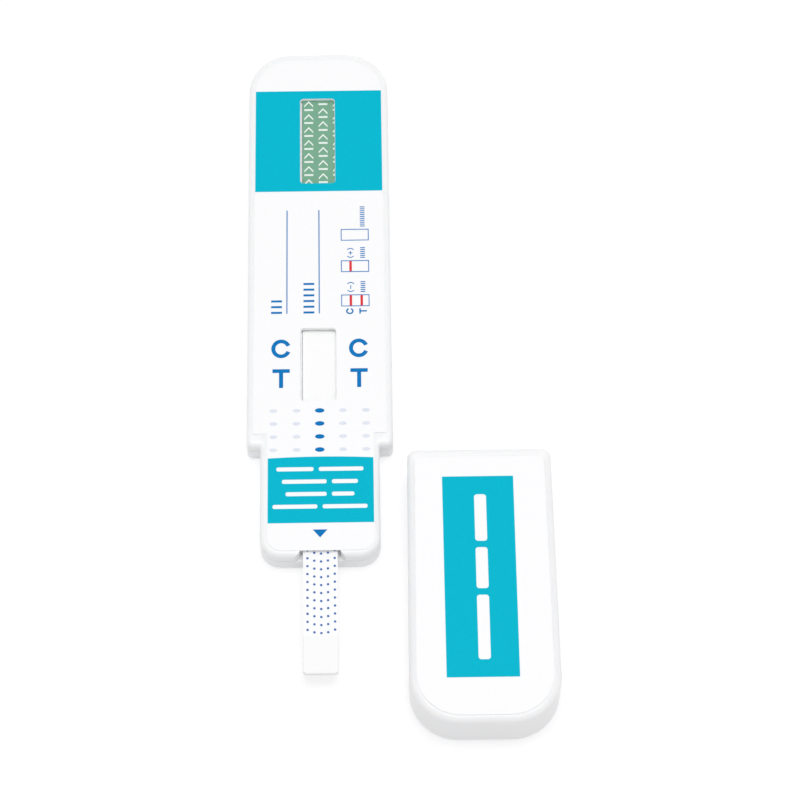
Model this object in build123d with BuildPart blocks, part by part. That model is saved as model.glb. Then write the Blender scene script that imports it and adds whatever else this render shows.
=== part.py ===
from build123d import *
from math import radians, tan
import os

os.makedirs("parts", exist_ok=True)

# A single-strip lateral flow card with its cap taken off and laid beside it.
# Millimetres. The origin is on the card's underside, on its centreline, in the plane of the shoulders
# that the cap stops against. The dipping end points to -Y, the face up to +Z.

# Card body
body_width = 19.8
body_length = 63.0
body_thickness = 4.2
far_corner_radius = 6.2
shoulder_corner_radius = 0.8
shoulder_step = 1.85
nose_length = 16.35
nose_corner_radius = 2.8
neck_radius = 0.4
face_edge_round = 0.7
base_edge_round = 0.45
split_height = 2.4
seam_bevel = 0.08
wall = 1.2
floor_thickness = 0.9
face_thickness = 0.4

# Strip layers
strip_width = 4.6
strip_reach = 16.55
strip_tail = 2.0
strip_headroom = 0.05
card_thickness = 0.3
membrane_thickness = 0.15
conjugate_thickness = 0.25
pad_thickness = 0.4
tape_thickness = 0.05
layer_overlap = 1.0
conjugate_length = 5.0
bare_tip = 5.1
tip_corner_radius = 0.4
tip_edge_round = 0.12

# Windows in the face, a little off the centreline
window_width = 4.85
window_shift = -0.15
name_window_length = 14.0
name_window_end_gap = 7.85
result_window_length = 11.13
result_window_from_shoulder = 6.72
window_corner_radius = 0.45

# Opening that the strip leaves by
notch_clearance = 0.35
notch_depth = 1.3
notch_flare = 1.1
sill_clearance = 0.1

# Strip bed and closing pins
guide_clearance = 0.05
guide_thickness = 0.6
guide_height = 0.65
rib_thickness = 0.8
rib_count = 9
pin_radius = 0.65
pin_clearance = 0.03
pin_tip_gap = 0.2
boss_wall = 0.6
boss_gap = 0.25
pin_rows = 4

# Front label and its print
label_thickness = 0.1
label_margin = 0.82
label_far_margin = 1.15
label_far_corner_ease = 0.6
label_end_margin = 0.75
label_step = 1.75
label_nose_shift = 0.1
label_corner_radius = 2.0
label_window_gap = 0.06
ink_thickness = 0.03
ink_inset = 0.12
name_block_above = 1.35
name_block_below = 1.35
nose_block_top = 1.8
nose_block_bow = 0.2
nose_block_length = 9.8
dash_height = 0.62
dash_corner_radius = 0.25
dash_pitch = 1.85
dash_gap = 0.7
dash_margins = (1.25, 2.0, 2.5, 0.75)
dash_gap_places = (-0.5, 1.25, 1.25, 0.0)
letter_height = 2.87
letter_stroke = 0.55
cross_letter_width = 2.36
round_letter_width = 2.7
letter_offset = 5.33
letter_shift = 0.08
letter_spread = 4.6
letter_lift = 0.13
letter_opening = 25.0
small_letter_scale = 0.36
pointer_width = 1.95
pointer_height = 1.15
pointer_gap = 1.0
entry_line_width = 0.14
entry_line_foot_gap = 2.35
entry_line_head_gap = 3.1
entry_line_pitch = 4.47
caption_width = 1.5
caption_gap = 0.68
caption_stroke = 0.3
caption_pitch = 0.9
caption_strokes = (3, 6)
key_box_width = 3.9
key_box_height = 1.85
key_box_line = 0.11
key_box_pitch = 5.24
key_drop = 1.42
key_middle_lift = 0.2
key_box_x = 5.0
key_bar = 0.34
key_bar_x = 4.38
key_bar_spread = 1.5
key_sign = 0.55
key_sign_gap = 1.2
key_bracket_width = 1.3
key_bracket_length = 1.55
key_bracket_opening = 0.5
key_word_x = 6.07
key_word_width = 0.66
key_word_gap = 0.4
key_word_stroke = 0.13
key_word_pitch = 0.31
key_word_strokes = (11, 6, 6)
key_letter_x = 4.22
key_letter_spread = 1.83
key_letter_gap = 0.75
lens_length = 1.28
lens_width = 0.67
pale_lens_length = 1.05
pale_lens_width = 0.52
lens_pitch = 1.97
lens_rows = 4
lens_column_pitch = 3.14
lens_first = 5.17

# Print on the two tapes
dot_radius = 0.17
dot_shift = 0.1
dot_columns = 5
dot_rows = 11
dot_column_pitch = 0.905
dot_row_pitch = 1.142
dot_row_sag = 0.48
dot_margin = 1.0
chevron_width = 1.28
chevron_height = 0.75
chevron_stroke = 0.3
chevron_pitch = 2.17
chevron_stagger = 0.45
chevron_column_pitch = 2.04
chevron_first_column = -1.41
chevron_columns = 3

# Cap
cap_gap = 1.86
cap_pull = 2.2
cap_clearance = 0.15
cap_wall = 1.3
cap_side_wall = 1.4
cap_end_wall = 1.5
cap_tip_clearance = 4.7
cap_flare = 0.33
cap_corner_radius = 6.5
cap_mouth_corner_radius = 1.2
cap_edge_round = 0.9
cap_lead_in = 0.15
grip_rib_length = 9.0
grip_rib_height = 0.1
grip_rib_width = 0.8
cap_label_margin = 0.95
cap_label_mouth_margin = 1.35
cap_label_corner_radius = 5.8
cap_label_mouth_corner_radius = 1.0
cap_block_width = 9.47
cap_block_end_gap = 6.1
cap_block_mouth_gap = 4.3
cap_block_shift = 0.3
cap_bar_width = 1.6
cap_bar_corner_radius = 0.4
cap_bar_shift = 0.25
cap_bar_lengths = (6.8, 5.9, 9.1)
cap_bar_gap = 0.9
cap_bar_first_gap = 2.65

# Sizes that follow from the ones above
nose_width = body_width - 2 * shoulder_step
ceiling = body_thickness - face_thickness
strip_top = ceiling - strip_headroom
tape_base = strip_top - tape_thickness
card_top = tape_base - pad_thickness
strip_base = card_top - card_thickness
membrane_top = card_top + membrane_thickness
name_window_top = body_length - name_window_end_gap
name_window_center = name_window_top - name_window_length / 2
result_window_center = result_window_from_shoulder + result_window_length / 2
strip_tip = -nose_length - strip_reach
strip_end = name_window_top + strip_tail
label_top = body_thickness + label_thickness
label_nose_half = nose_width / 2 - label_margin
label_body_half = body_width / 2 - label_margin
label_bottom = label_end_margin - nose_length
guide_half = strip_width / 2 + guide_clearance
cap_mouth_half = nose_width / 2 + cap_clearance + cap_side_wall
cap_cavity_height = label_top + ink_thickness + 2 * cap_clearance
cap_height = cap_cavity_height + 2 * cap_wall
cap_length = nose_length + strip_reach + cap_tip_clearance + cap_end_wall
cap_x = body_width / 2 + cap_gap + cap_mouth_half
cap_end = -cap_pull - cap_length


def card_outline(height, inset=0.0):
    """Outline of the card at a height, drawn in by an inset all round."""
    corner = min(shoulder_corner_radius, 0.5 * shoulder_step)
    neck = min(neck_radius, 0.25 * shoulder_step)
    with BuildSketch(Plane.XY.offset(height)) as outline:
        Rectangle(body_width, body_length, align=(Align.CENTER, Align.MIN))
        fillet(outline.vertices().group_by(Axis.Y)[-1], far_corner_radius)
        fillet(outline.vertices().group_by(Axis.Y)[0], corner)
        Rectangle(nose_width, 2 * nose_length)
        fillet(outline.vertices().group_by(Axis.Y)[0], nose_corner_radius)
        inner_corners = outline.vertices().filter_by_position(Axis.Y, -0.01, 0.01)
        fillet(inner_corners.sort_by(lambda v: abs(v.X))[:2], neck)
        if inset > 0:
            offset(amount=-inset, kind=Kind.INTERSECTION, mode=Mode.REPLACE)
    return outline.sketch


def window_outline(height, center_y, length, grow=0.0):
    """A round-cornered window at a height, larger than its hole by a margin."""
    with BuildSketch(Plane.XY.offset(height)) as outline:
        with Locations((window_shift, center_y)):
            RectangleRounded(window_width + 2 * grow, length + 2 * grow, window_corner_radius + grow)
    return outline.sketch


def pin_places():
    """Places of the closing pins, in two rows beside the strip."""
    side = nose_width / 2 - wall - boss_gap - pin_radius - boss_wall
    first = -nose_length + wall + boss_gap + pin_radius + boss_wall
    last = body_length - far_corner_radius
    step = (last - first) / (pin_rows - 1)
    rows = [first + step * row for row in range(pin_rows)]
    return [(x, y) for y in rows for x in (-side, side)]


# Lower shell: a shallow moulded tray. Cross ribs carry the strip at the height of the sill in its
# front wall, two long rails keep the strip from moving sideways, and sockets take the upper pins.
rib_first = -nose_length + 2 * wall
rib_step = (strip_end - rib_thickness - rib_first) / (rib_count - 1)
rail_first = wall - nose_length
rail_length = strip_end + guide_clearance + rib_thickness - rail_first
with BuildPart() as lower_shell:
    extrude(card_outline(0), amount=split_height)
    fillet(lower_shell.faces().sort_by(Axis.Z)[0].edges(), base_edge_round)
    chamfer(lower_shell.faces().sort_by(Axis.Z)[-1].edges(), seam_bevel)
    extrude(card_outline(floor_thickness, wall), amount=split_height, mode=Mode.SUBTRACT)
    for row in range(rib_count):
        with Locations((0, rib_first + rib_step * row, floor_thickness)):
            Box(
                2 * guide_half + guide_thickness,
                rib_thickness,
                strip_base - floor_thickness,
                align=(Align.CENTER, Align.MIN, Align.MIN),
            )
    for side in (-1, 1):
        with Locations((side * (guide_half + guide_thickness / 2), rail_first, floor_thickness)):
            Box(
                guide_thickness,
                rail_length,
                strip_base + guide_height - floor_thickness,
                align=(Align.CENTER, Align.MIN, Align.MIN),
            )
    with Locations((0, strip_end + guide_clearance, floor_thickness)):
        Box(
            2 * guide_half + guide_thickness,
            rib_thickness,
            strip_base + guide_height - floor_thickness,
            align=(Align.CENTER, Align.MIN, Align.MIN),
        )
    with Locations((0, base_edge_round - nose_length, floor_thickness)):
        Box(
            strip_width + 2 * sill_clearance,
            wall - base_edge_round,
            strip_base - floor_thickness,
            align=(Align.CENTER, Align.MIN, Align.MIN),
        )
    with BuildSketch(Plane.XY.offset(floor_thickness)):
        with Locations(*pin_places()):
            Circle(pin_radius + boss_wall)
    extrude(amount=split_height - floor_thickness)
    with BuildSketch(Plane.XY.offset(floor_thickness)):
        with Locations(*pin_places()):
            Circle(pin_radius + pin_clearance)
    extrude(amount=split_height, mode=Mode.SUBTRACT)
lower_shell.part.label = "lower_shell"
export_step(lower_shell.part, "parts/lower_shell.step")

# Upper shell: the face with its two windows, the opening for the strip, and the closing pins.
with BuildPart() as upper_shell:
    extrude(card_outline(split_height), amount=body_thickness - split_height)
    fillet(upper_shell.faces().sort_by(Axis.Z)[-1].edges(), face_edge_round)
    chamfer(upper_shell.faces().sort_by(Axis.Z)[0].edges(), seam_bevel)
    extrude(card_outline(split_height, wall), amount=ceiling - split_height, mode=Mode.SUBTRACT)
    with BuildSketch(Plane.XY.offset(ceiling)):
        add(window_outline(0, name_window_center, name_window_length))
        add(window_outline(0, result_window_center, result_window_length))
    extrude(amount=face_thickness, mode=Mode.SUBTRACT)
    with BuildSketch(Plane.XY.offset(split_height)) as notch:
        with Locations((0, -nose_length)):
            Rectangle(strip_width + 2 * notch_clearance, notch_depth, align=(Align.CENTER, Align.MIN))
            Rectangle(nose_width, wall, align=(Align.CENTER, Align.MAX))
        mouth = notch.vertices().filter_by_position(Axis.Y, -nose_length - 0.01, -nose_length + 0.01)
        fillet(mouth.sort_by(lambda v: abs(v.X))[:2], notch_flare)
    extrude(amount=body_thickness, mode=Mode.SUBTRACT)
    with BuildSketch(Plane.XY.offset(floor_thickness + pin_tip_gap)):
        with Locations(*pin_places()):
            Circle(pin_radius)
    extrude(amount=ceiling - floor_thickness - pin_tip_gap)
upper_shell.part.label = "upper_shell"
export_step(upper_shell.part, "parts/upper_shell.step")


def strip_layer(*corners):
    """One layer of the strip: its side outline in Y and Z, as wide as the strip."""
    with BuildPart() as layer:
        with BuildSketch(Plane.YZ):
            Polygon(*corners, align=None)
        extrude(amount=strip_width / 2, both=True)
    return layer


def round_tip(layer):
    """Round the two corners of a layer at the dipping end, seen from above."""
    with BuildPart() as rounded:
        add(layer.part)
        corners = rounded.edges().filter_by(Axis.Z).group_by(Axis.Y)[0]
        fillet(corners, tip_corner_radius)
    return rounded


# Backing card: the stiff plastic strip that carries every other layer.
conjugate_start = result_window_from_shoulder - 2 * layer_overlap - conjugate_length
membrane_start = conjugate_start + conjugate_length - layer_overlap
membrane_end = result_window_from_shoulder + result_window_length + 2 * layer_overlap
conjugate_top = card_top + conjugate_thickness
backing_card = round_tip(
    strip_layer(
        (strip_tip, strip_base),
        (strip_end, strip_base),
        (strip_end, card_top),
        (strip_tip, card_top),
    )
)
backing_card.part.label = "backing_card"
export_step(backing_card.part, "parts/backing_card.step")

# Membrane: the white reading surface in the result window.
membrane = strip_layer(
    (membrane_start, card_top),
    (membrane_end, card_top),
    (membrane_end, membrane_top),
    (membrane_start, membrane_top),
)
membrane.part.label = "membrane"
export_step(membrane.part, "parts/membrane.step")

# Conjugate pad: lies on the card and laps over the membrane's lower end.
conjugate_lap_top = membrane_top + conjugate_thickness
conjugate_end = membrane_start + layer_overlap
conjugate_pad = strip_layer(
    (conjugate_start, card_top),
    (membrane_start, card_top),
    (membrane_start, membrane_top),
    (conjugate_end, membrane_top),
    (conjugate_end, conjugate_lap_top),
    (membrane_start, conjugate_lap_top),
    (membrane_start, conjugate_top),
    (conjugate_start, conjugate_top),
)
conjugate_pad.part.label = "conjugate_pad"
export_step(conjugate_pad.part, "parts/conjugate_pad.step")

# Sample pad: the wick that is dipped. It laps over the conjugate pad inside the card.
with BuildPart() as sample_pad:
    add(
        round_tip(
            strip_layer(
                (strip_tip, card_top),
                (conjugate_start, card_top),
                (conjugate_start, conjugate_top),
                (conjugate_start + layer_overlap, conjugate_top),
                (conjugate_start + layer_overlap, tape_base),
                (strip_tip, tape_base),
            )
        ).part
    )
    tip_edges = sample_pad.faces().sort_by(Axis.Z)[-1].edges().group_by(Axis.Y)[0]
    fillet(tip_edges, tip_edge_round)
sample_pad.part.label = "sample_pad"
export_step(sample_pad.part, "parts/sample_pad.step")

# Absorbent pad: the sink at the far end, lapping over the membrane's upper end.
absorbent_start = membrane_end - layer_overlap
absorbent_pad = strip_layer(
    (absorbent_start, membrane_top),
    (membrane_end, membrane_top),
    (membrane_end, card_top),
    (strip_end, card_top),
    (strip_end, tape_base),
    (absorbent_start, tape_base),
)
absorbent_pad.part.label = "absorbent_pad"
export_step(absorbent_pad.part, "parts/absorbent_pad.step")

# Cover tape: over the sample pad, from above the bare tip to inside the card.
cover_start = strip_tip + bare_tip
cover_tape = strip_layer(
    (cover_start, tape_base),
    (conjugate_start, tape_base),
    (conjugate_start, strip_top),
    (cover_start, strip_top),
)
cover_tape.part.label = "cover_tape"
export_step(cover_tape.part, "parts/cover_tape.step")

# Name tape: the coloured tape over the absorbent pad, seen through the name window.
name_tape_start = name_window_top - name_window_length - strip_tail
name_tape = strip_layer(
    (name_tape_start, tape_base),
    (strip_end, tape_base),
    (strip_end, strip_top),
    (name_tape_start, strip_top),
)
name_tape.part.label = "name_tape"
export_step(name_tape.part, "parts/name_tape.step")

# Dots on the cover tape: rows that sag in the middle.
tape_ink = 0.5 * min(ink_thickness, strip_headroom)
with BuildPart() as cover_tape_print:
    with BuildSketch(Plane.XY.offset(strip_top)):
        for column in range(dot_columns):
            across = column - (dot_columns - 1) / 2
            sag = dot_row_sag * (1 - (2 * across / (dot_columns - 1)) ** 2)
            for row in range(dot_rows):
                x = dot_shift + across * dot_column_pitch
                with Locations((x, cover_start + dot_margin + row * dot_row_pitch - sag)):
                    Circle(dot_radius)
    extrude(amount=tape_ink)
cover_tape_print.part.label = "cover_tape_print"
export_step(cover_tape_print.part, "parts/cover_tape_print.step")

# Chevrons and bars on the name tape, in columns that run off its edge.
with BuildPart() as name_tape_print:
    with BuildSketch(Plane.XY.offset(strip_top)):
        for column in range(chevron_columns):
            x = chevron_first_column + column * chevron_column_pitch
            for row in range(int(name_window_length / chevron_pitch) + 2):
                y = name_window_top - (row - chevron_stagger * (column % 2)) * chevron_pitch
                with Locations((x, y)):
                    Polygon(
                        (-chevron_width / 2, -chevron_height),
                        (0, 0),
                        (chevron_width / 2, -chevron_height),
                        (chevron_width / 2, -chevron_height - chevron_stroke),
                        (0, -chevron_stroke),
                        (-chevron_width / 2, -chevron_height - chevron_stroke),
                        align=None,
                    )
                with Locations((x, y - chevron_height - 2 * chevron_stroke)):
                    Rectangle(chevron_width, chevron_stroke, align=(Align.CENTER, Align.MAX))
        add(window_outline(0, name_window_center, name_window_length), mode=Mode.INTERSECT)
        with Locations((0, name_window_center)):
            Rectangle(strip_width, name_window_length, mode=Mode.INTERSECT)
    extrude(amount=tape_ink)
name_tape_print.part.label = "name_tape_print"
export_step(name_tape_print.part, "parts/name_tape_print.step")

# Front label: one printed sheet stuck on the face, wide over the body and stepped in over the nose.
with BuildPart() as front_label:
    with BuildSketch(Plane.XY.offset(body_thickness)) as sheet:
        with Locations((0, label_step)):
            Rectangle(
                2 * label_body_half,
                body_length - label_far_margin - label_step,
                align=(Align.CENTER, Align.MIN),
            )
        label_far_radius = far_corner_radius - label_far_margin + label_far_corner_ease
        fillet(sheet.vertices().group_by(Axis.Y)[-1], label_far_radius)
        with Locations((label_nose_shift, label_bottom)):
            Rectangle(2 * label_nose_half, 2 * label_step - label_bottom, align=(Align.CENTER, Align.MIN))
        fillet(sheet.vertices().group_by(Axis.Y)[0], label_corner_radius)
        for center_y, length in (
            (name_window_center, name_window_length),
            (result_window_center, result_window_length),
        ):
            add(window_outline(0, center_y, length, label_window_gap), mode=Mode.SUBTRACT)
    extrude(amount=label_thickness)
front_label.part.label = "front_label"
export_step(front_label.part, "parts/front_label.step")

# Coloured blocks on the label: one round the name window, one across the nose with rows of bare dashes.
with BuildPart() as label_print_teal:
    with BuildSketch(Plane.XY.offset(label_top)):
        with Locations((0, name_window_top + name_block_above)):
            Rectangle(
                2 * (label_body_half - ink_inset),
                name_window_length + name_block_above + name_block_below,
                align=(Align.CENTER, Align.MAX),
            )
        add(window_outline(0, name_window_center, name_window_length, label_window_gap), mode=Mode.SUBTRACT)
        nose_block_half = label_nose_half - ink_inset
        nose_block_left = label_nose_shift - nose_block_half
        nose_block_right = label_nose_shift + nose_block_half
        nose_block_bottom = -nose_block_top - nose_block_length
        with BuildLine():
            ThreePointArc(
                (nose_block_left, -nose_block_top - nose_block_bow),
                (label_nose_shift, -nose_block_top),
                (nose_block_right, -nose_block_top - nose_block_bow),
            )
            Polyline(
                (nose_block_right, -nose_block_top - nose_block_bow),
                (nose_block_right, nose_block_bottom),
                (nose_block_left, nose_block_bottom),
                (nose_block_left, -nose_block_top - nose_block_bow),
            )
        make_face()
        for row, (margin, gap_place) in enumerate(zip(dash_margins, dash_gap_places)):
            y = -nose_block_top - (row + 1) * dash_pitch
            outer = nose_block_half - margin
            for side in (-1, 1):
                inner = gap_place + side * dash_gap / 2
                with Locations(((inner + side * outer) / 2, y)):
                    RectangleRounded(
                        side * (side * outer - inner),
                        dash_height,
                        dash_corner_radius,
                        mode=Mode.SUBTRACT,
                    )
    extrude(amount=ink_thickness)
label_print_teal.part.label = "label_print_teal"
export_step(label_print_teal.part, "parts/label_print_teal.step")


def round_letter(scale):
    """The control mark: an upright oval ring, open to the right."""
    width = scale * round_letter_width / 2
    height = scale * letter_height / 2
    stroke = scale * letter_stroke
    with BuildSketch() as letter:
        Ellipse(width, height)
        Ellipse(width - stroke, height - stroke, mode=Mode.SUBTRACT)
        rise = 2 * width * tan(radians(letter_opening))
        with BuildLine():
            Polyline((0, 0), (2 * width, -rise), (2 * width, rise), close=True)
        make_face(mode=Mode.SUBTRACT)
    return letter.sketch


def cross_letter(scale):
    """The test mark: a bar on a stem."""
    height = scale * letter_height
    stroke = scale * letter_stroke
    with BuildSketch() as letter:
        Rectangle(stroke, height)
        with Locations((0, height / 2)):
            Rectangle(scale * cross_letter_width, stroke, align=(Align.CENTER, Align.MAX))
    return letter.sketch


def bracket_pair():
    """Two brackets round a sign: an oval ring without its sides."""
    width = key_bracket_width / 2
    length = key_bracket_length / 2
    with BuildSketch() as brackets:
        Ellipse(width, length)
        Ellipse(width - key_box_line, length - key_box_line, mode=Mode.SUBTRACT)
        Rectangle(2 * key_bracket_width, 2 * key_bracket_opening, mode=Mode.SUBTRACT)
    return brackets.sketch


control_y = result_window_center + letter_lift + letter_spread / 2
test_y = result_window_center + letter_lift - letter_spread / 2
field_bottom = result_window_from_shoulder + result_window_length
field_top = name_window_top - name_window_length - name_block_below
entry_bottom = field_bottom + entry_line_foot_gap
entry_line_length = field_top - entry_line_head_gap - entry_bottom
key_middle = (field_bottom + field_top) / 2 - key_drop
key_rows = [key_middle + key_box_pitch, key_middle + key_middle_lift, key_middle - key_box_pitch]

# Blue print: the marks beside the window, the write-in lines, the key, the lenses and the pointer.
with BuildPart() as label_print_blue:
    with BuildSketch(Plane.XY.offset(label_top)):
        for x in (letter_shift - letter_offset, letter_shift + letter_offset):
            add(round_letter(1.0).moved(Location((x, control_y, 0))))
            add(cross_letter(1.0).moved(Location((x, test_y, 0))))
        for x, strokes in zip((-entry_line_pitch, 0), caption_strokes):
            with Locations((x, entry_bottom)):
                Rectangle(entry_line_width, entry_line_length, align=(Align.CENTER, Align.MIN))
            for stroke in range(strokes):
                with Locations((x - caption_gap, entry_bottom + stroke * caption_pitch)):
                    Rectangle(caption_width, caption_stroke, align=(Align.MAX, Align.MIN))
        for y in key_rows:
            with Locations((key_box_x, y)):
                Rectangle(key_box_width, key_box_height)
                Rectangle(
                    key_box_width - 2 * key_box_line,
                    key_box_height - 2 * key_box_line,
                    mode=Mode.SUBTRACT,
                )
        for y, strokes in zip(key_rows, key_word_strokes):
            word_bottom = y + key_box_height / 2 + key_word_gap
            for stroke in range(strokes):
                with Locations((key_word_x, word_bottom + stroke * key_word_pitch)):
                    Rectangle(key_word_width, key_word_stroke, align=(Align.CENTER, Align.MIN))
        for y in key_rows[1:]:
            with Locations((key_bar_x, y + key_box_height / 2 + key_sign_gap)):
                add(bracket_pair())
                Rectangle(key_box_line, key_sign)
        with Locations((key_bar_x, key_rows[1] + key_box_height / 2 + key_sign_gap)):
            Rectangle(key_sign, key_box_line)
        small = [round_letter(small_letter_scale), cross_letter(small_letter_scale)]
        small_y = key_rows[-1] - key_box_height / 2 - key_letter_gap
        for step, letter in enumerate(small):
            place = Location((key_letter_x + step * key_letter_spread, small_y, 0), (0, 0, 90))
            add(letter.moved(place))
        for row in range(lens_rows):
            with Locations((0, lens_first - row * lens_pitch)):
                Ellipse(lens_length / 2, lens_width / 2)
        with Locations((0, nose_block_bottom - pointer_gap)):
            Polygon(
                (-pointer_width / 2, 0),
                (pointer_width / 2, 0),
                (0, -pointer_height),
                align=None,
            )
    extrude(amount=ink_thickness)
label_print_blue.part.label = "label_print_blue"
export_step(label_print_blue.part, "parts/label_print_blue.step")

# Pale print: the fainter lenses on both sides of the blue ones.
with BuildPart() as label_print_pale:
    with BuildSketch(Plane.XY.offset(label_top)):
        for column in (-2, -1, 1, 2):
            for row in range(lens_rows):
                with Locations((column * lens_column_pitch, lens_first - row * lens_pitch)):
                    Ellipse(pale_lens_length / 2, pale_lens_width / 2)
    extrude(amount=ink_thickness)
label_print_pale.part.label = "label_print_pale"
export_step(label_print_pale.part, "parts/label_print_pale.step")

# Red print: the drawn lines in the key, one in the middle box and two in the lowest.
with BuildPart() as label_print_red:
    with BuildSketch(Plane.XY.offset(label_top)):
        for x, y in (
            (key_bar_x, key_rows[-2]),
            (key_bar_x, key_rows[-1]),
            (key_bar_x + key_bar_spread, key_rows[-1]),
        ):
            with Locations((x, y)):
                Rectangle(key_bar, key_box_height - 2 * key_box_line)
    extrude(amount=ink_thickness)
label_print_red.part.label = "label_print_red"
export_step(label_print_red.part, "parts/label_print_red.step")


def cap_outline(height, inset, mouth_inset, end_radius, mouth_radius):
    """The cap's tapered outline at a height, drawn in by its insets, with rounded corners."""
    half = cap_mouth_half - inset
    with BuildSketch(Plane.XY.offset(height)) as outline:
        Polygon(
            (cap_x - half, -cap_pull - mouth_inset),
            (cap_x + half, -cap_pull - mouth_inset),
            (cap_x + half + cap_flare, cap_end + inset),
            (cap_x - half - cap_flare, cap_end + inset),
            align=None,
        )
        fillet(outline.vertices().group_by(Axis.Y)[0], end_radius)
        fillet(outline.vertices().group_by(Axis.Y)[-1], mouth_radius)
    return outline.sketch


# Cap: one hollow moulding, a little wider at its closed end, with grip ribs inside its mouth.
with BuildPart() as cap:
    extrude(cap_outline(0, 0, 0, cap_corner_radius, cap_mouth_corner_radius), amount=cap_height)
    flat_faces = cap.faces().filter_by(Axis.Z)
    fillet(flat_faces.edges(), cap_edge_round)
    with BuildSketch(Plane.XY.offset(cap_wall)) as cavity_plan:
        with Locations((cap_x, cap_end + cap_end_wall)):
            Rectangle(
                nose_width + 2 * cap_clearance,
                cap_length - cap_end_wall,
                align=(Align.CENTER, Align.MIN),
            )
        fillet(cavity_plan.vertices().group_by(Axis.Y)[0], cap_corner_radius - cap_end_wall)
    extrude(amount=cap_cavity_height, mode=Mode.SUBTRACT)
    mouth_face = cap.faces().sort_by(Axis.Y)[-1]
    chamfer(mouth_face.inner_wires()[0].edges(), cap_lead_in)
    for side in (-1, 1):
        for level in (1 / 3, 2 / 3):
            wall_x = cap_x + side * (nose_width / 2 + cap_clearance)
            with Locations((wall_x, -cap_pull - grip_rib_length, cap_wall + level * cap_cavity_height)):
                Box(2 * grip_rib_height, grip_rib_length, grip_rib_width)
cap.part.label = "cap"
export_step(cap.part, "parts/cap.step")

# Cap label: one sheet over the cap's upper face, with the cap's own outline.
with BuildPart() as cap_label:
    extrude(
        cap_outline(
            cap_height,
            cap_label_margin,
            cap_label_mouth_margin,
            cap_label_corner_radius,
            cap_label_mouth_corner_radius,
        ),
        amount=label_thickness,
    )
cap_label.part.label = "cap_label"
export_step(cap_label.part, "parts/cap_label.step")

# Coloured block on the cap label, with a row of bars left bare along it.
cap_block_length = cap_length - cap_block_mouth_gap - cap_block_end_gap
cap_block_top = -cap_pull - cap_block_mouth_gap
cap_block_x = cap_x - cap_block_shift
cap_bar_x = cap_block_x + cap_bar_shift
with BuildPart() as cap_label_print:
    with BuildSketch(Plane.XY.offset(cap_height + label_thickness)):
        with Locations((cap_block_x, cap_block_top)):
            Rectangle(cap_block_width, cap_block_length, align=(Align.CENTER, Align.MAX))
        bar_top = cap_block_top - cap_bar_first_gap
        for bar_length in cap_bar_lengths:
            with Locations((cap_bar_x, bar_top)):
                RectangleRounded(
                    cap_bar_width,
                    bar_length,
                    cap_bar_corner_radius,
                    align=(Align.CENTER, Align.MAX),
                    mode=Mode.SUBTRACT,
                )
            bar_top -= bar_length + cap_bar_gap
    extrude(amount=ink_thickness)
cap_label_print.part.label = "cap_label_print"
export_step(cap_label_print.part, "parts/cap_label_print.step")
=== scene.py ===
from math import cos, pi, radians, sin
from random import Random

import bmesh
import bpy
from mathutils import Matrix, Vector, noise


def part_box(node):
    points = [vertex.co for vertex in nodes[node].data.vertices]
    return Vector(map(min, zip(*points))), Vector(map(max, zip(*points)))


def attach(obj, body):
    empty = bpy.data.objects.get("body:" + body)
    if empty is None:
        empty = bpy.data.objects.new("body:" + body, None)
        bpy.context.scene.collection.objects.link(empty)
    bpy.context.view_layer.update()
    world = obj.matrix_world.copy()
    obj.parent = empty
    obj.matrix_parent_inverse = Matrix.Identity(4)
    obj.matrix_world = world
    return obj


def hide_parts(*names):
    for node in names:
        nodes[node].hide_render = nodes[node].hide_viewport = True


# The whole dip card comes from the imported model, in metres: every moulding, strip layer and print film.
# What follows gives each piece its finish, and models the soft wick, in the order it is put together.
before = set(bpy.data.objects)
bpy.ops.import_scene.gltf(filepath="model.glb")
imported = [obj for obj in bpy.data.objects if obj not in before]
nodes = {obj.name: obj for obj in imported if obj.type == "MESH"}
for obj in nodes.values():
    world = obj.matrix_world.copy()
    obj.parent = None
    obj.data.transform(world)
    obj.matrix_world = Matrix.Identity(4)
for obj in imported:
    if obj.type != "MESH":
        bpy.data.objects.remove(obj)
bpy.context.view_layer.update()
mm = 0.001


# Lower shell and upper shell: the two halves of the card's housing, each injection-moulded in one shot
# from white high-impact polystyrene. The upper half's pins are pressed into the lower half's sockets,
# which leaves a fine seam all round.
def linear(code):
    """An sRGB hex code as the linear colour that a shader takes."""
    values = [int(code[i : i + 2], 16) / 255 for i in (0, 2, 4)]
    return (*[v / 12.92 if v <= 0.04045 else ((v + 0.055) / 1.055) ** 2.4 for v in values], 1.0)


def add_node(tree, kind, inputs, **settings):
    """Adds a node with its settings. An input is a value, or the node and output that it is linked to."""
    made = tree.nodes.new(kind)
    for name, value in settings.items():
        setattr(made, name, value)
    for socket, value in inputs.items():
        if isinstance(value, tuple) and isinstance(value[0], bpy.types.Node):
            tree.links.new(value[0].outputs[value[1]], made.inputs[socket])
        else:
            made.inputs[socket].default_value = value
    return made


def new_material(name):
    """An empty node material, with the place of each point in metres."""
    made = bpy.data.materials.new(name)
    made.use_nodes = True
    tree = made.node_tree
    tree.nodes.clear()
    place = add_node(tree, "ShaderNodeTexCoord", {})
    return made, tree, (place, "Object")


def finish_material(tree, shader):
    """Joins a shader to the material's output."""
    add_node(tree, "ShaderNodeOutputMaterial", {"Surface": (shader, "BSDF")})


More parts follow.
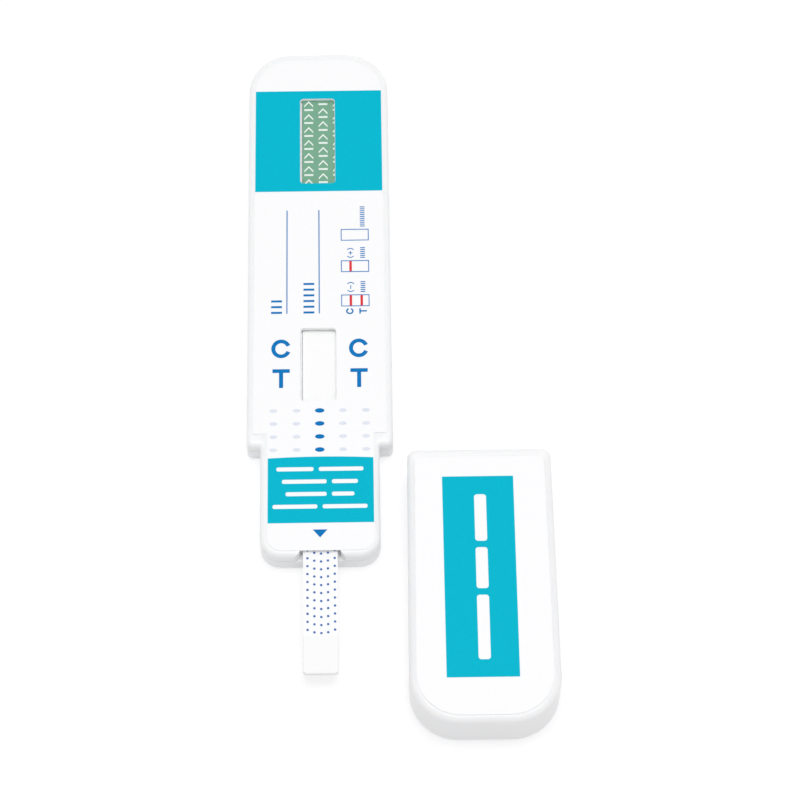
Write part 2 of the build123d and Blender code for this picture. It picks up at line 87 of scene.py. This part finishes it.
def moulded_polystyrene(name, white, shade, milkiness, depth):
    """High-impact polystyrene off a spark-eroded tool: milky white, a soft shine, a very fine grain."""
    made, tree, place = new_material(name)
    flow_length = 9 * mm
    grain_width = 0.22 * mm
    flow = add_node(tree, "ShaderNodeTexNoise", {"Vector": place, "Scale": 1 / flow_length, "Detail": 3.0})
    tint = add_node(
        tree,
        "ShaderNodeMix",
        {0: (flow, 0), 6: linear(white), 7: linear(shade)},
        data_type="RGBA",
    )
    grain = add_node(tree, "ShaderNodeTexNoise", {"Vector": place, "Scale": 1 / grain_width, "Detail": 2.0})
    dull = add_node(
        tree,
        "ShaderNodeMapRange",
        {"Value": (flow, 0), "To Min": 0.3, "To Max": 0.4},
    )
    bump = add_node(
        tree,
        "ShaderNodeBump",
        {"Height": (grain, 0), "Strength": 0.25, "Distance": 0.012 * mm},
    )
    shader = add_node(
        tree,
        "ShaderNodeBsdfPrincipled",
        {
            "Base Color": (tint, 2),
            "Roughness": (dull, 0),
            "Normal": (bump, 0),
            "IOR": 1.59,
            "Subsurface Weight": milkiness,
            "Subsurface Radius": (1.0, 0.9, 0.8),
            "Subsurface Scale": depth,
        },
    )
    finish_material(tree, shader)
    return made


def dress(material, *names):
    """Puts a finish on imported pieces, in the slots that they have."""
    for name in names:
        for slot in nodes[name].material_slots:
            slot.material = material


thin_polystyrene = moulded_polystyrene("moulded_polystyrene", "FCFDFE", "F9FAFB", 0.35, 0.9 * mm)
dress(thin_polystyrene, "lower_shell", "upper_shell")


# Backing card: a strip of white rigid vinyl sheet, calendered, with a self-adhesive face that holds
# every layer above it. It is cut together with them by a rolling shear, so its long edges are clean.
def calendered_vinyl(name, colour):
    """Rigid white vinyl sheet off polished rollers: dull satin, with faint streaks along the strip."""
    made, tree, place = new_material(name)
    streak_width = 0.35 * mm
    streak_length = 14 * mm
    stretched = add_node(
        tree,
        "ShaderNodeMapping",
        {"Vector": place, "Scale": (1 / streak_width, 1 / streak_length, 1 / streak_width)},
    )
    streak = add_node(tree, "ShaderNodeTexNoise", {"Vector": (stretched, 0), "Scale": 1.0, "Detail": 2.0})
    bump = add_node(
        tree,
        "ShaderNodeBump",
        {"Height": (streak, 0), "Strength": 0.2, "Distance": 0.01 * mm},
    )
    dull = add_node(
        tree,
        "ShaderNodeMapRange",
        {"Value": (streak, 0), "To Min": 0.42, "To Max": 0.52},
    )
    shader = add_node(
        tree,
        "ShaderNodeBsdfPrincipled",
        {"Base Color": linear(colour), "Roughness": (dull, 0), "Normal": (bump, 0), "IOR": 1.53},
    )
    finish_material(tree, shader)
    return made


dress(calendered_vinyl("calendered_vinyl", "F4F4F2"), "backing_card")


# Membrane: cast nitrocellulose, a brittle white sponge with pores far finer than the eye resolves.
# It reads as the whitest, flattest surface on the card, and it is what the result window shows.
def cast_nitrocellulose(name, colour, pore_colour):
    """Cast nitrocellulose: dead matte white with the faintest mottle, drawn coarser than its real pores."""
    made, tree, place = new_material(name)
    pore_width = 0.12 * mm
    pores = add_node(tree, "ShaderNodeTexNoise", {"Vector": place, "Scale": 1 / pore_width, "Detail": 4.0})
    tint = add_node(
        tree,
        "ShaderNodeMix",
        {0: (pores, 0), 6: linear(colour), 7: linear(pore_colour)},
        data_type="RGBA",
    )
    bump = add_node(
        tree,
        "ShaderNodeBump",
        {"Height": (pores, 0), "Strength": 0.3, "Distance": 0.01 * mm},
    )
    shader = add_node(
        tree,
        "ShaderNodeBsdfPrincipled",
        {"Base Color": (tint, 2), "Roughness": 0.9, "Normal": (bump, 0), "IOR": 1.5},
    )
    finish_material(tree, shader)
    return made


dress(cast_nitrocellulose("cast_nitrocellulose", "FFFFFF", "FEFEFE"), "membrane")


# Conjugate pad and absorbent pad: the dried-reagent pad of glass fibre before the membrane, and the
# thick cotton-linter blotter after it. Both are pressed on to the card's adhesive, inside the shells.
def fibre_felt(name, colour, painted_hollow_shade, fibre_width, fibre_length, relief):
    """Felted fibres lying mostly flat: matte, with short crossing strands, and painted shade darkening the
    hollows between them.
    """
    made, tree, place = new_material(name)
    strand_directions = (0.3, 1.4, 2.5)
    heights = []
    for turn in strand_directions:
        turned = add_node(
            tree,
            "ShaderNodeMapping",
            {
                "Vector": place,
                "Rotation": (0.0, 0.0, turn),
                "Scale": (1 / fibre_length, 1 / fibre_width, 1 / fibre_width),
            },
        )
        strand = add_node(
            tree,
            "ShaderNodeTexNoise",
            {"Vector": (turned, 0), "Scale": 1.0, "Detail": 1.0, "Distortion": 0.4},
        )
        heights.append((strand, 0))
    pair = add_node(tree, "ShaderNodeMath", {0: heights[0], 1: heights[1]}, operation="MAXIMUM")
    felt = add_node(tree, "ShaderNodeMath", {0: (pair, 0), 1: heights[2]}, operation="MAXIMUM")
    depth = add_node(
        tree,
        "ShaderNodeMapRange",
        {"Value": (felt, 0), "From Min": 0.42, "From Max": 0.68},
    )
    # Painted shade: where the felt's height is low, in the hollows between strands, the surface takes the
    # darker colour.
    tint = add_node(
        tree,
        "ShaderNodeMix",
        {0: (depth, 0), 6: linear(painted_hollow_shade), 7: linear(colour)},
        data_type="RGBA",
    )
    bump = add_node(
        tree,
        "ShaderNodeBump",
        {"Height": (depth, 0), "Strength": 0.5, "Distance": relief},
    )
    shader = add_node(
        tree,
        "ShaderNodeBsdfPrincipled",
        {
            "Base Color": (tint, 2),
            "Roughness": 0.92,
            "Normal": (bump, 0),
            "IOR": 1.47,
            "Sheen Weight": 0.15,
            "Sheen Roughness": 0.5,
        },
    )
    finish_material(tree, shader)
    return made


# The second colour of each felt is painted shade for the hollows between its strands.
dress(fibre_felt("glass_fibre_felt", "EFE3E8", "DFCBD4", 0.05 * mm, 1.2 * mm, 0.02 * mm), "conjugate_pad")
dress(fibre_felt("cotton_blotter", "FBFBF9", "F1F0EC", 0.09 * mm, 0.7 * mm, 0.03 * mm), "absorbent_pad")

# Wick: the sample pad, a soft cellulose felt that sticks out of the housing and is dipped. It is cut with
# the card below it, so it is as wide as the card, but its upper edges give a little and a few loose
# fibres stand out of the cut at its tip.
wick_low, wick_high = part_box("sample_pad")
cover_low, cover_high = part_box("cover_tape")
wick_round = 0.11 * mm
wick_tip_radius = 0.4 * mm
wick_give = 0.018 * mm
wick_fine_step = 0.16 * mm
wick_coarse_step = 0.8 * mm
wick_section_points = 7
wick_facets_across = 26
wick_end_drops = (0.09 * mm, 0.025 * mm)
wick_end_narrowing = 0.3
wick_end_blunt = 0.03 * mm
wick_lap_gap = 0.02 * mm
wick_firm_depth = 0.05 * mm
wick_give_width = 0.35 * mm
wick_smooth_angle = radians(50)
fibre_count = 130
fibre_seed = 41
fibre_segments = 3
fibre_shortest = 0.12 * mm
fibre_longest = 0.3 * mm
fibre_thinnest = 0.007 * mm
fibre_thickest = 0.012 * mm
fibre_taper = 0.6
fibre_bend = 0.4
fibre_root_depth = 0.05 * mm
fibre_gap_below = 0.06 * mm
fibre_gap_above = 0.08 * mm
fibre_end_reach = 0.85
fibre_side_reach = (0.08, 0.97)
fibre_end_lean = 0.8
fibre_side_lean = 1.5
fibre_rise = (-0.3, 0.5)


def wick_half_width(y):
    """Half the wick's width at a place along it: it draws in round its two tip corners."""
    half = (wick_high.x - wick_low.x) / 2
    into = y - wick_low.y
    if into >= wick_tip_radius:
        return half
    return half - wick_tip_radius + (wick_tip_radius**2 - (wick_tip_radius - into) ** 2) ** 0.5


def wick_ring(y, lowest, highest, half):
    """The points round one section of the wick, with soft upper corners."""
    ring = [Vector((-half, y, lowest))]
    for step in range(wick_section_points):
        angle = pi - pi / 2 * step / (wick_section_points - 1)
        ring.append(
            Vector((
                -half + wick_round + wick_round * cos(angle),
                y,
                highest - wick_round + wick_round * sin(angle),
            ))
        )
    flat = half - wick_round
    shares = [step / wick_facets_across for step in range(1, wick_facets_across)]
    ring += [Vector((-flat + 2 * flat * share, y, highest)) for share in shares]
    for step in range(wick_section_points):
        angle = pi / 2 - pi / 2 * step / (wick_section_points - 1)
        ring.append(
            Vector((
                half - wick_round + wick_round * cos(angle),
                y,
                highest - wick_round + wick_round * sin(angle),
            ))
        )
    ring.append(Vector((half, y, lowest)))
    ring += [Vector((half - 2 * half * share, y, lowest)) for share in shares]
    return ring


def build_wick():
    """The felt body: rings along the strip, finer where it is bare, with a slightly uneven upper face."""
    conjugate_low, conjugate_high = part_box("conjugate_pad")
    card_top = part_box("backing_card")[1].z
    rows = []
    y = wick_low.y
    while y < conjugate_low.y - wick_coarse_step:
        rows.append((y, card_top))
        y += wick_fine_step if y < cover_low.y + mm else wick_coarse_step
    rows.append((conjugate_low.y - wick_lap_gap, card_top))
    lap_base = card_top + (conjugate_high.z - conjugate_low.z) - (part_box("membrane")[1].z - card_top)
    rows.append((conjugate_low.y, lap_base))
    rows.append((wick_high.y, lap_base))
    surface = bmesh.new()
    rings = []
    for row, (y, lowest) in enumerate(rows):
        drop = wick_end_drops[row] if row < len(wick_end_drops) else 0.0
        blunt = wick_end_blunt if row == 0 else 0.0
        half = wick_half_width(y + blunt) - wick_end_narrowing * drop
        ring = wick_ring(y, lowest, wick_high.z - drop, half)
        bare = y < cover_low.y
        for point in ring:
            if point.z > lowest + wick_firm_depth and bare:
                give = (noise.noise(point / wick_give_width) + 1) / 2
                point.z -= wick_give * give
                point.x *= 1 - wick_give * give / half
        rings.append([surface.verts.new(point) for point in ring])
    count = len(rings[0])
    for first, second in zip(rings, rings[1:]):
        for index in range(count):
            after = (index + 1) % count
            surface.faces.new((first[index], first[after], second[after], second[index]))
    surface.faces.new(list(reversed(rings[0])))
    surface.faces.new(rings[-1])
    bmesh.ops.recalc_face_normals(surface, faces=surface.faces)
    mesh = bpy.data.meshes.new("wick")
    surface.to_mesh(mesh)
    surface.free()
    for face in mesh.polygons:
        face.use_smooth = True
    wick = bpy.data.objects.new("wick", mesh)
    bpy.context.scene.collection.objects.link(wick)
    mesh.set_sharp_from_angle(angle=wick_smooth_angle)
    return wick


wick = build_wick()
# Its second colour is painted shade for the hollows between the strands.
cellulose_felt = fibre_felt("cellulose_felt", "FFFFFF", "FDFDFE", 0.07 * mm, 0.9 * mm, 0.012 * mm)
wick.data.materials.append(cellulose_felt)
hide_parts("sample_pad")
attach(wick, "root")


def build_loose_fibres():
    """Short bent fibres, each a thin three-sided thread, rooted in the cut round the wick's bare tip."""
    draw = Random(fibre_seed)
    surface = bmesh.new()
    bare_length = cover_low.y - wick_low.y
    card_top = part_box("backing_card")[1].z
    for _ in range(fibre_count):
        side = draw.choice((-1, 0, 1))
        height = draw.uniform(card_top + fibre_gap_below, wick_high.z - fibre_gap_above)
        half = (wick_high.x - wick_low.x) / 2
        if side == 0:
            across_end = draw.uniform(-fibre_end_reach, fibre_end_reach) * half
            root = Vector((across_end, wick_low.y + fibre_root_depth, height))
            lean = draw.uniform(-fibre_end_lean, fibre_end_lean)
            heading = Vector((lean, -1, draw.uniform(*fibre_rise))).normalized()
        else:
            along = wick_low.y + draw.uniform(*fibre_side_reach) * bare_length
            root = Vector((side * (half - fibre_root_depth), along, height))
            lean = draw.uniform(-fibre_side_lean, fibre_side_lean)
            heading = Vector((side, lean, draw.uniform(*fibre_rise))).normalized()
        length = draw.uniform(fibre_shortest, fibre_longest)
        bend = Vector((draw.uniform(-1, 1), draw.uniform(-1, 1), draw.uniform(-0.5, 0.5))) * fibre_bend
        thickness = draw.uniform(fibre_thinnest, fibre_thickest)
        across = heading.orthogonal().normalized()
        other = heading.cross(across)
        rings = []
        for step in range(fibre_segments + 1):
            share = step / fibre_segments
            centre = root + (heading + bend * share) * length * share
            width = thickness * (1 - fibre_taper * share)
            rings.append([
                surface.verts.new(centre + (across * cos(turn) + other * sin(turn)) * width)
                for turn in (0, 2 * pi / 3, 4 * pi / 3)
            ])
        for first, second in zip(rings, rings[1:]):
            for index in range(3):
                after = (index + 1) % 3
                surface.faces.new((first[index], first[after], second[after], second[index]))
        surface.faces.new(list(reversed(rings[0])))
        surface.faces.new(rings[-1])
    bmesh.ops.recalc_face_normals(surface, faces=surface.faces)
    mesh = bpy.data.meshes.new("wick_loose_fibres")
    surface.to_mesh(mesh)
    surface.free()
    fibres = bpy.data.objects.new("wick_loose_fibres", mesh)
    bpy.context.scene.collection.objects.link(fibres)
    return fibres


loose_fibres = build_loose_fibres()
loose_fibres.data.materials.append(cellulose_felt)
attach(loose_fibres, "root")


# Cover tape and name tape: two pieces of thin adhesive film laid over the pads. The white one guards
# the wick up to the dip line, and the green one, over the blotter, shows through the name window.
def adhesive_film(name, colour, ripple_colour, roughness):
    """Thin pressure-sensitive film rolled on to felt: satin, the felt just showing as a soft ripple."""
    made, tree, place = new_material(name)
    ripple_width = 0.5 * mm
    ripple = add_node(
        tree,
        "ShaderNodeTexNoise",
        {"Vector": place, "Scale": 1 / ripple_width, "Detail": 3.0},
    )
    tint = add_node(
        tree,
        "ShaderNodeMix",
        {0: (ripple, 0), 6: linear(colour), 7: linear(ripple_colour)},
        data_type="RGBA",
    )
    bump = add_node(
        tree,
        "ShaderNodeBump",
        {"Height": (ripple, 0), "Strength": 0.35, "Distance": 0.02 * mm},
    )
    shader = add_node(
        tree,
        "ShaderNodeBsdfPrincipled",
        {"Base Color": (tint, 2), "Roughness": roughness, "Normal": (bump, 0), "IOR": 1.49},
    )
    finish_material(tree, shader)
    return made


dress(adhesive_film("white_adhesive_film", "FDFDFE", "F9FAFB", 0.38), "cover_tape")
dress(adhesive_film("green_adhesive_film", "76AC8E", "6BA083", 0.42), "name_tape")


# Front label: one die-cut sheet of coated label paper with both windows punched out, pressed on to the
# face of the upper shell by a roller, about a millimetre in from the moulding's edge. The cap has one too.
def coated_label_paper(name, colour, fibre_colour):
    """Clay-coated label paper: near white, satin, with a very faint cloudiness from the fibres below."""
    made, tree, place = new_material(name)
    cloud_width = 0.6 * mm
    tooth_width = 0.1 * mm
    cloud = add_node(tree, "ShaderNodeTexNoise", {"Vector": place, "Scale": 1 / cloud_width, "Detail": 4.0})
    tint = add_node(
        tree,
        "ShaderNodeMix",
        {0: (cloud, 0), 6: linear(colour), 7: linear(fibre_colour)},
        data_type="RGBA",
    )
    tooth = add_node(tree, "ShaderNodeTexNoise", {"Vector": place, "Scale": 1 / tooth_width, "Detail": 2.0})
    bump = add_node(
        tree,
        "ShaderNodeBump",
        {"Height": (tooth, 0), "Strength": 0.2, "Distance": 0.006 * mm},
    )
    shader = add_node(
        tree,
        "ShaderNodeBsdfPrincipled",
        {"Base Color": (tint, 2), "Roughness": 0.48, "Normal": (bump, 0), "IOR": 1.5},
    )
    finish_material(tree, shader)
    return made


label_paper = coated_label_paper("coated_label_paper", "FDFDFE", "FAFAFC")
dress(label_paper, "front_label", "cap_label")


# Print: flexographic ink on the labels and the tapes, each colour one dried film. Solid areas show a
# slight mottle where the ink has sunk into the paper unevenly.
def flexo_ink(name, colour, thin_colour, mottle_width=0.3 * mm):
    """Dried flexographic ink: satin, with a fine mottle from its full colour to a slightly thinner one."""
    made, tree, place = new_material(name)
    mottle = add_node(
        tree,
        "ShaderNodeTexNoise",
        {"Vector": place, "Scale": 1 / mottle_width, "Detail": 3.0, "Roughness": 0.6},
    )
    patch = add_node(
        tree,
        "ShaderNodeMapRange",
        {"Value": (mottle, 0), "From Min": 0.35, "From Max": 0.65},
    )
    tint = add_node(
        tree,
        "ShaderNodeMix",
        {0: (patch, 0), 6: linear(thin_colour), 7: linear(colour)},
        data_type="RGBA",
    )
    shader = add_node(
        tree,
        "ShaderNodeBsdfPrincipled",
        {"Base Color": (tint, 2), "Roughness": 0.5, "IOR": 1.5, "Specular IOR Level": 0.05},
    )
    finish_material(tree, shader)
    return made


dress(flexo_ink("teal_ink", "00B8D0", "00BCD5"), "label_print_teal", "cap_label_print")
dress(flexo_ink("blue_ink", "0673BA", "137DC3"), "label_print_blue")
dress(flexo_ink("blue_dot_ink", "4A6FB0", "5B80BC"), "cover_tape_print")
dress(flexo_ink("pale_blue_ink", "DFE5F2", "E9EDF6"), "label_print_pale")
dress(flexo_ink("red_ink", "DC2F36", "E5454A"), "label_print_red")
dress(flexo_ink("white_ink", "F4FAF6", "E6F2EA"), "name_tape_print")

# Cap: a hollow push-on cover for the dipping end, moulded from the same polystyrene in one shot, a
# little wider at its closed end. It lies beside the card, taken off.
dress(moulded_polystyrene("moulded_polystyrene_cap", "FCFCFD", "F9F9FB", 0.5, 1.2 * mm), "cap")

# Floor, light and camera: a white paper sweep under a large overhead diffuser, seen from the dipping end.
# The floor and the backdrop show white, and the floor keeps a pale shadow of the card and the cap.
floor_half = 1.5
floor_drop = 0.02 * mm
floor_mesh = bpy.data.meshes.new("floor")
floor_mesh.from_pydata(
    [(x * floor_half, y * floor_half, -floor_drop) for x, y in ((-1, -1), (1, -1), (1, 1), (-1, 1))],
    [],
    [(0, 1, 2, 3)],
)
floor = bpy.data.objects.new("floor", floor_mesh)
bpy.context.scene.collection.objects.link(floor)

floor_material, tree, _ = new_material("white_sweep")


def seen_rays(tree):
    """Where a ray comes from the camera, or by way of a gloss or through glass."""
    rays = add_node(tree, "ShaderNodeLightPath", {})
    direct = add_node(
        tree,
        "ShaderNodeMath",
        {0: (rays, "Is Camera Ray"), 1: (rays, "Is Glossy Ray")},
        operation="ADD",
    )
    return add_node(
        tree,
        "ShaderNodeMath",
        {0: (direct, 0), 1: (rays, "Is Transmission Ray")},
        operation="ADD",
        use_clamp=True,
    )


bounced = add_node(tree, "ShaderNodeBsdfDiffuse", {"Color": linear("EFEFEF")})
shadowed = add_node(tree, "ShaderNodeBsdfDiffuse", {"Color": linear("B4B4B6")})
glow = add_node(tree, "ShaderNodeEmission", {"Color": linear("FFFFFF"), "Strength": 0.6})
shown = add_node(tree, "ShaderNodeAddShader", {0: (shadowed, 0), 1: (glow, 0)})
both = add_node(tree, "ShaderNodeMixShader", {0: (seen_rays(tree), 0), 1: (bounced, 0), 2: (shown, 0)})
add_node(tree, "ShaderNodeOutputMaterial", {"Surface": (both, 0)})
floor_mesh.materials.append(floor_material)

world = bpy.data.worlds.new("studio")
bpy.context.scene.world = world
world.use_nodes = True
world.node_tree.nodes.clear()
tree = world.node_tree
sky = add_node(tree, "ShaderNodeBackground", {"Color": linear("FFFFFF"), "Strength": 0.64})
backdrop = add_node(tree, "ShaderNodeBackground", {"Color": linear("FFFFFF"), "Strength": 1.0})
either = add_node(tree, "ShaderNodeMixShader", {0: (seen_rays(tree), 0), 1: (sky, 0), 2: (backdrop, 0)})
add_node(tree, "ShaderNodeOutputWorld", {"Surface": (either, 0)})

diffuser_place = Vector((0.04, 0.05, 0.8))
diffuser_target = Vector((0.01, 0.01, 0.0))
diffuser_width = 0.45
diffuser_watts = 2.4
lamp = bpy.data.lights.new("diffuser", "AREA")
lamp.shape = "SQUARE"
lamp.size = diffuser_width
lamp.energy = diffuser_watts
diffuser = bpy.data.objects.new("diffuser", lamp)
diffuser.location = diffuser_place
diffuser.rotation_euler = (diffuser_target - diffuser_place).to_track_quat("-Z", "Y").to_euler()
bpy.context.scene.collection.objects.link(diffuser)

camera_distance = 0.42082
camera_target = Vector((0.010972, 0.00879, 0.0))
camera_elevation = radians(63.0)
camera_turn = radians(0.938)
camera_roll = radians(-0.063)
camera_sensor_mm = 36.0
camera_lens_mm = 137.57
camera_near = 0.01
forward = Vector((
    sin(camera_turn) * cos(camera_elevation),
    cos(camera_turn) * cos(camera_elevation),
    -sin(camera_elevation),
))
camera_data = bpy.data.cameras.new("camera")
camera_data.sensor_width = camera_sensor_mm
camera_data.lens = camera_lens_mm
camera_data.clip_start = camera_near
camera = bpy.data.objects.new("camera", camera_data)
bpy.context.scene.collection.objects.link(camera)
camera.matrix_world = (
    Matrix.Translation(camera_target - forward * camera_distance)
    @ forward.to_track_quat("-Z", "Y").to_matrix().to_4x4()
    @ Matrix.Rotation(-camera_roll, 4, "Z")
)
bpy.context.scene.camera = camera
bpy.context.scene.view_settings.view_transform = "Standard"

bpy.context.view_layer.update()
